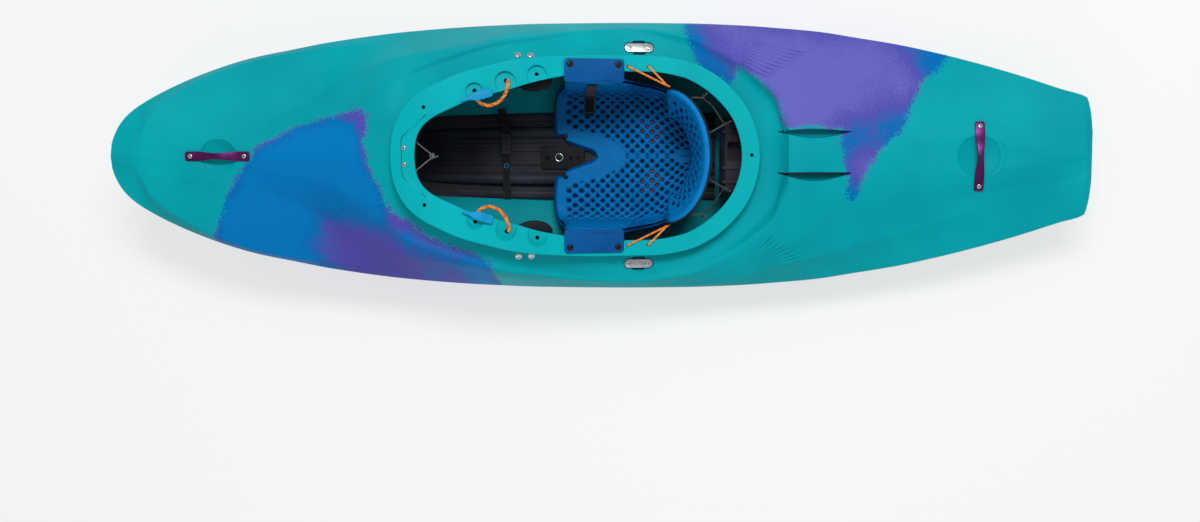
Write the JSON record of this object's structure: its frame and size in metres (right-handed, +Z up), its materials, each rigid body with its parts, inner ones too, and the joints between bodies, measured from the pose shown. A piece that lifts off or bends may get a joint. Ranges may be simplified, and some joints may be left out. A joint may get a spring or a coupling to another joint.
{
  "type": "whitewater kayak",
  "caption": "Short half-slice river kayak with a cockpit rim, seat, tilting backrest, sliding footrest, thigh braces and grab handles.",
  "frame": {"origin": "middle of the boat's length and beam, on the surface that it lies on", "axes": "+X from bow to stern, +Y to starboard, +Z up"},
  "size_m": [2.44, 0.6798, 0.4589],
  "materials": {
    "teal_shell": "satin rotomoulded plastic with blue and purple swirls",
    "purple_anodised": "anodised, satin",
    "bright_steel": "polished",
    "dark_steel": "blackened",
    "alloy_plate": "brushed",
    "black_plastic": "moulded, matt",
    "hollow_moulding": null,
    "black_foam": "closed-cell foam",
    "seat_plastic": "moulded, satin",
    "seat_foam": "closed-cell foam with dimples",
    "black_webbing": "woven",
    "orange_cord": "braided cord",
    "cyan_tab": "moulded, satin"
  },
  "bodies": {
    "hull": {"hull_shell": "teal_shell", "bow_grab_handle": "purple_anodised", "bow_handle_screw_front": "bright_steel", "bow_handle_screw_rear": "bright_steel", "stern_grab_handle": "purple_anodised", "stern_handle_screw_left": "bright_steel", "stern_handle_screw_right": "bright_steel", "security_bar_left": "bright_steel", "security_bar_screw_left_front": "bright_steel", "security_bar_screw_left_rear": "bright_steel", "security_bar_right": "bright_steel", "security_bar_screw_right_front": "bright_steel", "security_bar_screw_right_rear": "bright_steel", "seat_rail": "hollow_moulding", "front_pillar": "black_foam", "rear_pillar": "hollow_moulding", "seat_shell": "seat_plastic", "seat_pad": "seat_foam", "hip_strap": "black_webbing", "seat_hanger_left": "seat_plastic", "hanger_screw_left_front": "dark_steel", "hanger_screw_left_rear": "dark_steel", "seat_hanger_right": "seat_plastic", "hanger_screw_right_front": "dark_steel", "hanger_screw_right_rear": "dark_steel", "seat_screw_front_left": "dark_steel", "seat_screw_front_right": "dark_steel", "seat_screw_rear_left": "dark_steel", "seat_screw_rear_right": "dark_steel", "backrest_cord_left": "orange_cord", "rear_bungee_left": "black_webbing", "backrest_cord_right": "orange_cord", "rear_bungee_right": "black_webbing", "front_strap": "black_webbing", "strap_buckle": "black_plastic", "front_bungee": "black_webbing", "footrest_rail_left": "black_plastic", "footrest_bolt_left_front": "bright_steel", "footrest_bolt_left_rear": "bright_steel", "footrest_rail_right": "black_plastic", "footrest_bolt_right_front": "bright_steel", "footrest_bolt_right_rear": "bright_steel", "brace_bolt_left_front": "bright_steel", "brace_bolt_left_rear": "bright_steel", "brace_bolt_right_front": "bright_steel", "brace_bolt_right_rear": "bright_steel", "rim_screw_left": "bright_steel", "rim_screw_right": "bright_steel", "pull_cord_left": "orange_cord", "pull_tab_left": "cyan_tab", "pull_cord_right": "orange_cord", "pull_tab_right": "cyan_tab"},
    "footrest": {"footrest_plate": "alloy_plate", "footrest_foam": "black_foam"},
    "backrest": {"backrest_shell": "black_plastic", "backrest_pad": "seat_foam"},
    "brace_left": {"thigh_brace_left": "black_plastic"},
    "brace_right": {"thigh_brace_right": "black_plastic"}
  },
  "joints": [
    {"name": "footrest_slide", "type": "slide", "parent": "hull", "child": "footrest", "axis": [1, 0, 0], "range_m": [-0.09, 0.09]},
    {"name": "backrest_tilt", "type": "hinge", "parent": "hull", "child": "backrest", "pos_m": [0.2593, 0, 0.0873], "axis": [0, -1, 0], "range_deg": [-8, 15], "deforming": ["backrest_cord_left", "backrest_cord_right", "rear_bungee_left", "rear_bungee_right"]},
    {"name": "thigh_brace_left_slide", "type": "slide", "parent": "hull", "child": "brace_left", "axis": [0.9703, 0, -0.2419], "range_m": [-0.015, 0.015]},
    {"name": "thigh_brace_right_slide", "type": "slide", "parent": "hull", "child": "brace_right", "axis": [0.9703, 0, -0.2419], "range_m": [-0.015, 0.015]}
  ]
}
